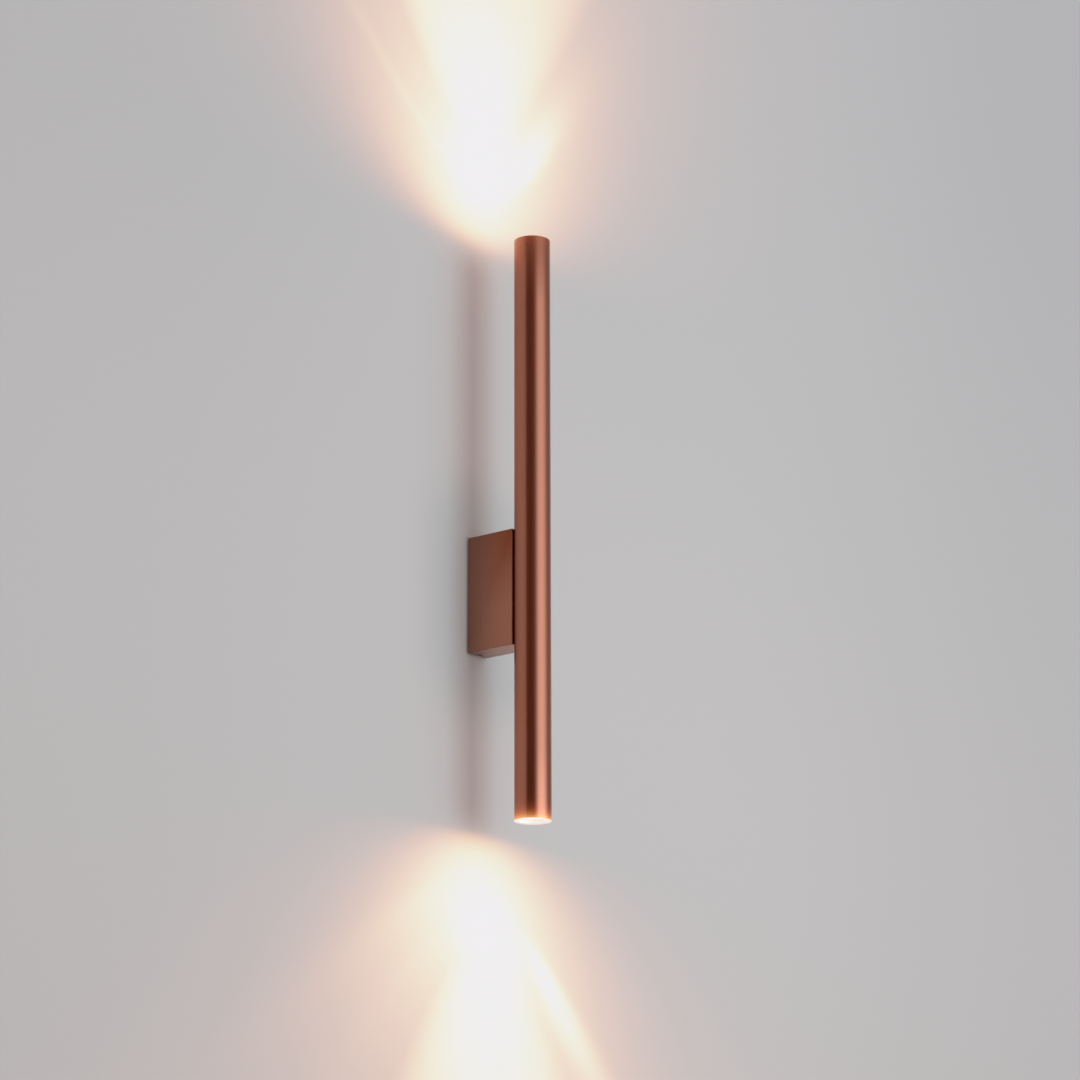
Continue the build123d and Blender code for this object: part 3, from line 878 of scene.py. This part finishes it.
@dataclass
class LampTube:
    """The drawn tube: a wall with rounded rims and a row of holes up its back.

    Attributes:
        axis: The tube's line, whose level 0 is the middle of the box.
        radius: The outside radius, in metres.
        bore: The inside radius.
        bottom: The level of the lower rim.
        top: The level of the upper rim.
        rim: The radius of each rounded edge.
        holes: The level and radius of each hole in the back.
        patch: Half the side of the square of surface round each hole.
        steps: The number of steps along a side of that square.
        rows: The number of steps from a hole's edge out to its square.
        columns: The number of steps round the rest of the tube.
    """

    axis: Seat = Seat((0.0, -0.059, 0.0))
    radius: float = 0.01495
    bore: float = 0.0135
    bottom: float = -0.193
    top: float = 0.297
    rim: float = 0.0003
    holes: tuple[tuple[float, float], ...] = (
        (-0.1315, 0.00153), (-0.036, 0.00225), (-0.01475, 0.004), (0.036, 0.00225), (0.2355, 0.00153),
    )
    patch: float = 0.005
    steps: int = 16
    rows: int = 4
    columns: int = 176

    def angles(self, radius: np.ndarray) -> np.ndarray:
        """The angle of every column of a row: evenly spaced in x across the back, then evenly in angle.

        Args:
            radius: The radius of each row, rows by 1.

        Returns:
            The angles, rows by columns.
        """
        back = np.arccos(np.linspace(self.patch, -self.patch, self.steps + 1) / radius)
        rest = np.linspace(0.0, 1.0, self.columns + 1)[1:]
        first, last = back[:, :1], back[:, -1:]
        return np.concatenate([back, last + (first + 2.0 * np.pi - last) * rest], axis=1)

    def levels(self) -> np.ndarray:
        """The levels of the straight rows: the rows of the square round each hole."""
        offsets = np.linspace(-self.patch, self.patch, self.steps + 1)
        return np.concatenate([level + offsets for level, _ in self.holes])

    def wall(self, surfaces: Surfaces) -> None:
        """Adds the wall as one closed profile carried round the axis, less the squares round the holes.

        Args:
            surfaces: What the grid is added to.
        """
        r, low, high = self.rim, self.bottom, self.top
        levels = self.levels()[:, None]
        outside = np.concatenate([np.full_like(levels, self.radius), levels], axis=1)
        inside = np.concatenate([np.full_like(levels, self.bore), levels], axis=1)[::-1]
        profile = np.concatenate([
            outside,
            arc((self.radius - r, high - r), r, 0.0, 90.0), arc((self.bore + r, high - r), r, 90.0, 180.0),
            inside,
            arc((self.bore + r, low + r), r, 180.0, 270.0), arc((self.radius - r, low + r), r, 270.0, 360.0),
            outside[:1],
        ])
        points = self.axis.points(profile[:, :1], self.angles(profile[:, :1]), profile[:, 1:])
        middle = (profile[1:] + profile[:-1]) / 2.0
        near = np.abs(middle[:, 1:] - np.array([level for level, _ in self.holes])).min(axis=1) < self.patch
        straight = np.abs(profile[1:, 0] - profile[:-1, 0]) < 1e-9
        keep = np.ones((len(profile) - 1, points.shape[1] - 1), bool)
        keep[near & straight, :self.steps] = False
        surfaces.grid(points, keep)

    def hole(self, surfaces: Surfaces, level: float, radius: float) -> None:
        """Adds a hole: on both skins the way from its circle out to the square, and the wall between them.

        A point of a skin is (x, axis y + sqrt(skin radius squared - x squared), z), with x and z going in
        even steps from the circle to the square along a line from the hole's middle.

        Args:
            surfaces: What the grids are added to.
            level: The level of the hole's middle.
            radius: The hole's radius.
        """
        run = np.linspace(-self.patch, self.patch, self.steps + 1)
        side = np.full(self.steps, self.patch)
        x = np.concatenate([side, run[:0:-1], -side, run])
        z = np.concatenate([run[:-1], side, run[:0:-1], -side, run[:1]])
        square = np.stack([x[:4 * self.steps + 1], z], axis=-1)
        square[-1] = square[0]
        circle = radius * square / np.linalg.norm(square, axis=1, keepdims=True)
        share = np.linspace(0.0, 1.0, self.rows + 1)[:, None, None]
        flat = circle + (square - circle) * share
        across, up = flat[..., 0], level + flat[..., 1]
        skins = [
            np.stack([across, self.axis.start[1] + np.sqrt(skin ** 2 - across ** 2), up], axis=-1)
            for skin in (self.radius, self.bore)
        ]
        surfaces.grid(skins[0]).grid(skins[1]).grid(np.stack([skins[0][0], skins[1][0]]))

    def build(self, finishes: Finishes) -> bpy.types.Object:
        """Makes the tube.

        Args:
            finishes: The material of each slot.

        Returns:
            The piece.
        """
        surfaces = Surfaces()
        self.wall(surfaces)
        for level, radius in self.holes:
            self.hole(surfaces, level, radius)
        return finished(surfaces.weld("lamp_tube"), "copper_lacquer", finishes, "light_body", "tube")


@dataclass
class LampEnd:
    """What shows in one mouth of the tube: the white ring that lines it and the opal disc behind the ring.

    Attributes:
        end: Which end of the tube it is.
        mouth: The level of the tube's rim there, in metres.
        ring_outside: The ring's outside radius.
        ring_inside: The ring's inside radius.
        ring_depths: How far the ring's front and back lie behind the rim.
        lip: The radius of the ring's rounded front edges.
        disc_radius: The disc's radius.
        disc_depths: How far the disc's middle and back lie behind the rim.
        crown: How much the disc's middle stands above its edge.
        edge: The radius of the disc's rounded edge.
        dome_rows: The number of points from the disc's edge to its middle.
        columns: The number of steps round.
    """

    end: End
    mouth: float
    ring_outside: float = 0.01345
    ring_inside: float = 0.01245
    ring_depths: tuple[float, float] = (0.0003, 0.0033)
    lip: float = 0.0003
    disc_radius: float = 0.01335
    disc_depths: tuple[float, float] = (0.00335, 0.00535)
    crown: float = 0.0003
    edge: float = 0.0004
    dome_rows: int = 16
    columns: int = 128

    def seat(self) -> Seat:
        """The line of this end, whose levels rise out of the mouth."""
        return Seat((0.0, -0.059, self.mouth), along=(0.0, 0.0, float(self.end.value)))

    def ring(self) -> bpy.types.Object:
        """Makes the ring: a square section with rounded front edges, turned about the axis.

        Returns:
            The ring.
        """
        front, back = (-depth for depth in self.ring_depths)
        outer, inner, r = self.ring_outside, self.ring_inside, self.lip
        profile = np.concatenate([
            [(outer, back)],
            arc((outer - r, front - r), r, 0.0, 90.0), arc((inner + r, front - r), r, 90.0, 180.0),
            [(inner, back), (outer, back)],
        ])
        return self.turned(profile, "mouth_ring")

    def disc(self) -> bpy.types.Object:
        """Makes the disc, whose front falls by crown * (r / radius) squared to a rounded edge.

        Returns:
            The disc.
        """
        front, back = (-depth for depth in self.disc_depths)
        edge = self.edge
        away = np.linspace(self.disc_radius - edge, 0.0, self.dome_rows)
        dome = np.stack([away, front - self.crown * (away / self.disc_radius) ** 2], axis=-1)
        profile = np.concatenate([
            [(0.0, back), (self.disc_radius, back)],
            arc((self.disc_radius - edge, dome[0, 1] - edge), edge, 0.0, 90.0)[:-1], dome,
        ])
        return self.turned(profile, "opal_disc")

    def turned(self, profile: np.ndarray, name: str) -> bpy.types.Object:
        """A closed profile carried round the axis, under the end's word and a name."""
        grid = self.seat().turned(profile, self.columns)
        return Surfaces().grid(grid).weld(f"{self.end.prefix}_{name}")

    def build(self, finishes: Finishes) -> list[bpy.types.Object]:
        """Makes the two pieces.

        Args:
            finishes: The material of each slot.

        Returns:
            The ring and the disc.
        """
        prefix = self.end.prefix
        return [
            finished(self.ring(), "white_ring", finishes, "light_body", f"{prefix}_end_ring"),
            finished(self.disc(), "opal_diffuser", finishes, "light_body", f"{prefix}_diffuser"),
        ]


@dataclass
class GrubScrew:
    """A headless screw: a hexagon socket in its end, a thread along it and a blunt point.

    Attributes:
        name: The piece's name.
        node: The CAD node that it stands for.
        body: The body that it rides on.
        slot: The record's slot that its finish comes from.
        seat: Its line, from the socket's end to the point.
        length: Its length, in metres.
        radius: Its radius over the thread.
        socket_flats: The socket's width across its flats.
        socket_depth: The socket's depth.
        pitch: The rise of the thread in one turn.
        thread_depth: How deep the thread is cut.
        socket_edge: The chamfer round the socket.
        edge: The chamfer round the face.
        rows: The number of steps along one turn of the thread.
        columns: The number of steps round, a multiple of 6.
    """

    name: str
    node: str
    body: str
    slot: str
    seat: Seat
    length: float
    radius: float = 0.0015
    socket_flats: float = 0.0013
    socket_depth: float = 0.0016
    pitch: float = 0.0005
    thread_depth: float = 0.00022
    socket_edge: float = 0.00012
    edge: float = 0.0002
    rows: int = 8
    columns: int = 48

    def hexagon(self, angle: np.ndarray) -> np.ndarray:
        """The socket's radius: half the flats over the cosine of the angle from the next flat."""
        sixth = np.pi / 3.0
        return self.socket_flats / 2.0 / np.cos((angle + sixth / 2.0) % sixth - sixth / 2.0)

    def thread(self, level: np.ndarray, angle: np.ndarray) -> np.ndarray:
        """The thread's radius: a triangle wave of level / pitch - angle / turn that fades out at both ends.

        Args:
            level: The level of each point.
            angle: Its angle.

        Returns:
            The radius at each point.
        """
        wave = np.abs(2.0 * ((level / self.pitch - angle / (2.0 * np.pi)) % 1.0) - 1.0)
        start, end = self.edge, self.length - self.radius / 2.0
        rise, fall = (level - start) / self.pitch, (end - level) / self.pitch
        depth = self.thread_depth * wave * np.clip(rise, 0.0, 1.0) * np.clip(fall, 0.0, 1.0)
        return self.radius - depth

    def build(self, finishes: Finishes) -> bpy.types.Object:
        """Makes the screw as rows from the socket's floor over its face and along its thread to its point.

        Args:
            finishes: The material of each slot.

        Returns:
            The piece.
        """
        angle = np.linspace(0.0, 2.0 * np.pi, self.columns + 1)[None]
        flats, one = self.hexagon(angle), np.ones_like(angle)
        count = self.rows * round(self.length / self.pitch)
        levels = np.linspace(self.edge, self.length - self.radius / 2.0, count)[:, None]
        radius = np.concatenate([
            0.0 * one, flats, flats, flats + self.socket_edge, (self.radius - self.edge) * one,
            self.thread(levels, angle), self.radius / 2.0 * one, 0.0 * one,
        ])
        first = np.array([self.socket_depth, self.socket_depth, self.socket_edge, 0.0, 0.0])[:, None]
        level = np.concatenate([first * one, levels * one, self.length * one, self.length * one])
        piece = Surfaces().grid(self.seat.points(radius, angle, level)).weld(self.name, sharp_degrees=30.0)
        return finished(piece, self.slot, finishes, self.body, self.node)


@dataclass
class CableGrommet:
    """The rubber grommet in the bracket: a neck through the plate and a flange with a raised bead.

    Attributes:
        seat: Its line, whose levels rise from the wall into the box.
        bore: The radius of its hole, in metres.
        neck: The radius of its neck.
        flange: The radius of its flange.
        plate: The level of the plate's inner face, where the neck ends.
        height: The level of the flange's top.
        fillet: The radius of its rounded edges.
        under_edge: The chamfer under the flange.
        bead: The radius of the bead on the flange.
        columns: The number of steps round.
    """

    seat: Seat = Seat((0.0, 0.0, 0.0), (1.0, 0.0, 0.0), (0.0, 0.0, 1.0), (0.0, -1.0, 0.0))
    bore: float = 0.004
    neck: float = 0.00595
    flange: float = 0.0078
    plate: float = 0.0015
    height: float = 0.0031
    fillet: float = 0.0003
    under_edge: float = 0.0001
    bead: float = 0.0008
    columns: int = 96

    def build(self, finishes: Finishes) -> bpy.types.Object:
        """Makes the grommet from a closed profile turned about its line.

        Args:
            finishes: The material of each slot.

        Returns:
            The piece.
        """
        r, middle = self.fillet, (self.flange + self.bore) / 2.0
        profile = np.concatenate([
            arc((self.bore + r, r), r, 270.0, 180.0),
            arc((self.bore + r, self.height - r), r, 180.0, 90.0),
            arc((middle, self.height - self.bead), self.bead, 90.0, 0.0, 7),
            arc((self.flange - r, self.height - self.bead - r), r, 90.0, 0.0),
            [(self.flange, self.plate + self.under_edge), (self.flange - self.under_edge, self.plate)],
            [(self.neck, self.plate)],
            arc((self.neck - r, r), r, 0.0, -90.0),
            [(self.bore + r, 0.0)],
        ])
        piece = Surfaces().grid(self.seat.turned(profile, self.columns)).weld("rubber_grommet")
        return finished(piece, "black_rubber", finishes, "wall_bracket", "cable_grommet")


@dataclass
class Stage:
    """The wall that the light hangs on, open behind the bracket, and a plain floor well below.

    Attributes:
        half_width: Half the width of the wall and floor, in metres.
        floor_z: The height of the floor.
        top_z: The top of the wall.
        wall_y: Where the wall's face is, just behind the part.
        opening: Half the width and half the height of the opening, which the bracket covers.
    """

    half_width: float = 2.2
    floor_z: float = -1.25
    top_z: float = 1.8
    wall_y: float = 0.0004
    opening: tuple[float, float] = (0.009, 0.043)

    def build(self) -> list[bpy.types.Object]:
        """Makes the wall and the floor.

        Returns:
            The two objects.
        """
        w, low, back = self.half_width, self.floor_z, self.wall_y
        across, up = self.opening
        x, z = np.meshgrid([w, across, -across, -w], [low, -up, up, self.top_z])
        around = np.ones((3, 3), bool)
        around[1, 1] = False
        face = np.stack([x, np.full_like(x, back), z], axis=-1)
        wall = Surfaces().grid(face, around).weld("wall", closed=False)
        ground = np.array([[[w, y, low], [-w, y, low]] for y in (-2.0 * w, back)])
        floor = Surfaces().grid(ground).weld("floor", closed=False)
        return [wall, floor]


@dataclass(frozen=True)
class Lamp:
    """A rectangular soft lamp that faces the wall squarely.

    Attributes:
        name: The lamp's name.
        left: The x of its left side, in metres.
        right: The x of its right side.
        bottom: The z of its lower side.
        top: The z of its upper side.
        away: How far it stands from the wall.
        radiance: How bright its face is; a white surface that it lights all round would show this.
        colour: Its colour.
    """

    name: str
    left: float
    right: float
    bottom: float
    top: float
    away: float
    radiance: float
    colour: Colour = (1.0, 1.0, 1.0)

    def build(self) -> bpy.types.Object:
        """Adds the lamp, whose power is pi times its area times its radiance, and which no surface mirrors.

        Returns:
            The lamp.
        """
        data = bpy.data.lights.new(self.name, "AREA")
        data.shape = "RECTANGLE"
        data.size, data.size_y = self.right - self.left, self.top - self.bottom
        data.energy = math.pi * data.size * data.size_y * self.radiance
        data.color = self.colour
        lamp = bpy.data.objects.new(self.name, data)
        lamp.location = ((self.left + self.right) / 2.0, -self.away, (self.bottom + self.top) / 2.0)
        lamp.rotation_euler = (math.radians(90.0), 0.0, 0.0)
        lamp.visible_camera = False
        lamp.visible_glossy = False
        bpy.context.scene.collection.objects.link(lamp)
        return lamp


@dataclass
class StudioLight:
    """The soft light of a room: a wide lamp, a tall cool window, a pale ceiling, a full right and a dim left.

    A direction is told by its turn, in degrees from straight out of the wall towards the left, and by its z.

    Attributes:
        lamp: The wide soft lamp in front, which gives the tube its even shadow on the wall.
        left: The light that comes from the left of the room.
        right: The light that comes from its right.
        sides: The turns at which the left side begins to give way to the right and has done so.
        window: What the window adds to it at its brightest.
        window_left: The turns at which the window's left edge begins and is complete.
        window_right: The same for its right edge.
        window_top: The z at which the window's light fades out and at which it is full.
        ceiling: The light that comes from above.
        ceiling_from: The z at which the ceiling begins and is full.
        backdrop: The plain colour that a camera sees past the wall, and that comes from behind it.
        behind: The y at which the backdrop's light begins and is full.
    """

    lamp: Lamp = Lamp(
        "soft_front", left=-0.45, right=0.98, bottom=-1.20, top=1.25, away=2.6, radiance=2.79,
        colour=(1.0, 0.947, 0.868),
    )
    left: Colour = (0.094, 0.038, 0.0165)
    right: Colour = (0.32, 0.278, 0.271)
    sides: Span = (50.0, 8.0)
    window: Colour = (1.76, 2.30, 2.70)
    window_left: Span = (38.0, 8.0)
    window_right: Span = (-58.0, -12.0)
    window_top: Span = (0.58, 0.0)
    ceiling: Colour = (1.15, 0.98, 0.86)
    ceiling_from: Span = (0.42, 0.85)
    backdrop: Colour = (0.76, 0.75, 0.755)
    behind: Span = (0.0, 0.3)

    def build(self) -> None:
        """Makes the lamp and the room's light."""
        self.lamp.build()
        self.room()

    def room(self) -> None:
        """Makes the world, in which the light from a direction is a smooth function of its turn and its z."""
        world = bpy.data.worlds.new("room")
        bpy.context.scene.world = world
        world.use_nodes = True
        graph = Graph(world.node_tree)
        toward = graph.add("ShaderNodeTexCoord").outputs["Generated"]
        split = graph.add("ShaderNodeSeparateXYZ", sockets={0: toward})
        x, y, z = (Wire(graph, out) for out in split.outputs)
        turn = graph.math("ARCTAN2", x * -1.0, y * -1.0) * math.degrees(1.0)
        sides = graph.blend(turn.ramp(*self.sides), self.left, self.right)
        pane = turn.ramp(*self.window_left) * turn.ramp(*self.window_right) * z.ramp(*self.window_top)
        front = graph.add(
            "ShaderNodeMix", {"data_type": "RGBA", "blend_type": "ADD"}, {0: pane, 6: sides, 7: self.window}
        ).outputs[2]
        whole = graph.blend(z.ramp(*self.ceiling_from), front, self.ceiling)
        around = graph.blend(y.ramp(*self.behind), whole, self.backdrop)
        light = graph.add("ShaderNodeBackground", sockets={0: around, 1: 1.0})
        pale = graph.add("ShaderNodeBackground", sockets={0: self.backdrop, 1: 1.0})
        seen = graph.add("ShaderNodeLightPath").outputs["Is Camera Ray"]
        both = graph.add("ShaderNodeMixShader", sockets={0: seen, 1: light.outputs[0], 2: pale.outputs[0]})
        graph.add("ShaderNodeOutputWorld", sockets={"Surface": both.outputs[0]})


@dataclass
class PhotoCamera:
    """The camera at the place from which the photograph was taken.

    Attributes:
        lens: The focal length, in millimetres.
        sensor: The width of the sensor, in millimetres.
        clip: The nearest and farthest distance that it sees, in metres.
        place: Where it stands, in metres.
        right: The direction of the picture's right side.
        up: The direction of its top.
        forward: The direction in which it looks.
    """

    lens: float = 120.15
    sensor: float = 36.0
    clip: tuple[float, float] = (0.05, 20.0)
    place: Coords = (-2.18512, -1.83862, -0.75285)
    right: Coords = (0.63028338, -0.77636232, -0.00209904)
    up: Coords = (-0.20877345, -0.17209387, 0.96270315)
    forward: Coords = (0.74776768, 0.60633757, 0.27055174)

    def build(self) -> bpy.types.Object:
        """Makes the camera and gives it to the scene.

        Returns:
            The camera.
        """
        data = bpy.data.cameras.new("photo_camera")
        data.lens = self.lens
        data.sensor_width = self.sensor
        data.clip_start, data.clip_end = self.clip
        camera = bpy.data.objects.new("photo_camera", data)
        turn = Matrix((self.right, self.up, tuple(-part for part in self.forward))).transposed()
        camera.matrix_world = Matrix.Translation(self.place) @ turn.to_4x4()
        bpy.context.scene.collection.objects.link(camera)
        bpy.context.scene.camera = camera
        return camera


FINISHES = (
    CopperLacquer(),
    Finish("zinc_plated_steel", (0.62, 0.63, 0.64), (0.48, 0.50, 0.53),
           Grain.CLOUD, 0.004, (0.28, 0.42), 4e-6, metal=1.0),
    Finish("screw_steel", (0.60, 0.61, 0.62), (0.42, 0.43, 0.44),
           Grain.TURNED, 0.0002, (0.22, 0.36), 6e-6, metal=1.0),
    Finish("blackened_steel", (0.035, 0.033, 0.034), (0.07, 0.065, 0.06),
           Grain.SPECKLE, 0.0004, (0.35, 0.5), 8e-6, metal=1.0),
    Finish("black_rubber", (0.018, 0.018, 0.019), (0.035, 0.034, 0.033),
           Grain.SPECKLE, 0.0005, (0.55, 0.75), 2e-5, sheen=0.2),
    Finish("white_nylon", (0.80, 0.78, 0.71), (0.70, 0.67, 0.58),
           Grain.CLOUD, 0.003, (0.38, 0.5), 6e-6),
    Finish("driver_plastic", (0.80, 0.80, 0.78), (0.72, 0.72, 0.70),
           Grain.PITTED, 0.0006, (0.45, 0.6), 2e-5),
    Finish("foam_tape", (0.68, 0.66, 0.59), (0.52, 0.50, 0.43),
           Grain.PITTED, 0.0005, (0.8, 0.95), 8e-5, sheen=0.2),
    Finish("circuit_board", (0.035, 0.16, 0.07), (0.07, 0.24, 0.11),
           Grain.CLOUD, 0.0018, (0.3, 0.42), 1e-5, coat=0.3),
    Finish("winding_tape", (0.74, 0.52, 0.10), (0.60, 0.38, 0.06),
           Grain.LAYERED, 0.0022, (0.25, 0.4), 4e-5, coat=0.2),
    Finish("ferrite", (0.05, 0.05, 0.055), (0.09, 0.09, 0.09),
           Grain.SPECKLE, 0.0004, (0.5, 0.7), 2e-5),
    Finish("capacitor_sleeve", (0.03, 0.035, 0.07), (0.05, 0.055, 0.10),
           Grain.CLOUD, 0.004, (0.2, 0.32), 8e-6, coat=0.4),
    Finish("terminal_plastic", (0.78, 0.78, 0.75), (0.68, 0.68, 0.65),
           Grain.PITTED, 0.0005, (0.4, 0.55), 1.5e-5),
    Finish("brass", (0.70, 0.50, 0.20), (0.52, 0.34, 0.12),
           Grain.DRAWN, 0.0004, (0.2, 0.35), 5e-6, metal=1.0),
    Finish("brown_lead", (0.13, 0.055, 0.025), (0.09, 0.035, 0.015),
           Grain.CLOUD, 0.002, (0.4, 0.55), 8e-6, sheen=0.1),
    Finish("blue_lead", (0.025, 0.09, 0.36), (0.015, 0.06, 0.25),
           Grain.CLOUD, 0.002, (0.4, 0.55), 8e-6, sheen=0.1),
    Finish("red_lead", (0.45, 0.022, 0.018), (0.32, 0.014, 0.012),
           Grain.CLOUD, 0.002, (0.4, 0.55), 8e-6, sheen=0.1),
    Finish("black_lead", (0.018, 0.018, 0.018), (0.03, 0.03, 0.03),
           Grain.CLOUD, 0.002, (0.4, 0.55), 8e-6, sheen=0.1),
    Finish("bare_aluminium", (0.78, 0.79, 0.80), (0.64, 0.65, 0.67),
           Grain.TURNED, 0.0004, (0.22, 0.38), 8e-6, metal=1.0),
    Finish("thermal_silicone", (0.28, 0.38, 0.50), (0.20, 0.29, 0.40),
           Grain.PITTED, 0.0005, (0.6, 0.8), 3e-5, sheen=0.1),
    Finish("white_board", (0.86, 0.86, 0.83), (0.78, 0.78, 0.74),
           Grain.CLOUD, 0.002, (0.3, 0.42), 6e-6, coat=0.2),
    Finish("bright_reflector", (0.90, 0.90, 0.90), (0.84, 0.84, 0.84),
           Grain.SPECKLE, 0.0008, (0.06, 0.14), 4e-6, metal=1.0),
    Opal("phosphor", (0.90, 0.70, 0.22), (1.0, 0.86, 0.55), (1.0, 0.80, 0.45), 1.1, 0.0035),
    Opal("opal_diffuser", (0.88, 0.88, 0.86), (0.92, 0.98, 1.0), (0.92, 0.96, 0.97), 0.385),
    # painted glow: the ring is no lamp; its emission stands in for the diffuser's light falling on it
    Opal("white_ring", (0.84, 0.84, 0.83), (0.93, 0.95, 0.95), (0.93, 0.90, 0.88), 0.28),
)

SCREWS = (
    GrubScrew("underside_lock_screw", "lock_screw", "lock_screw", "blackened_steel",
              Seat((0.0, -0.0036, -0.048)), 0.0044),
    GrubScrew("upper_back_screw", "upper_module_screw", "light_body", "screw_steel",
              Seat((0.0, -0.0443, 0.2355), aside=(0.0, 0.0, 1.0), along=(0.0, -1.0, 0.0)), 0.006),
    GrubScrew("lower_back_screw", "lower_module_screw", "light_body", "screw_steel",
              Seat((0.0, -0.0443, -0.1315), aside=(0.0, 0.0, 1.0), along=(0.0, -1.0, 0.0)), 0.006),
)


def main() -> None:
    """Builds everything in order."""
    logging.basicConfig(level=logging.INFO, format="%(message)s")
    PhotoCamera().build()
    StudioLight().build()
    paint = Plaster().build()
    for piece in Stage().build():
        piece.data.materials.append(paint)
    finishes = {finish.slot: finish.build() for finish in FINISHES}
    dress_nodes(finishes)
    tube = LampTube()
    tube.build(finishes)
    LampEnd(End.UPPER, tube.top).build(finishes)
    LampEnd(End.LOWER, tube.bottom).build(finishes)
    CableGrommet().build(finishes)
    for screw in SCREWS:
        screw.build(finishes)
    bpy.context.scene.view_settings.view_transform = "Standard"


if __name__ == "__main__":
    main()
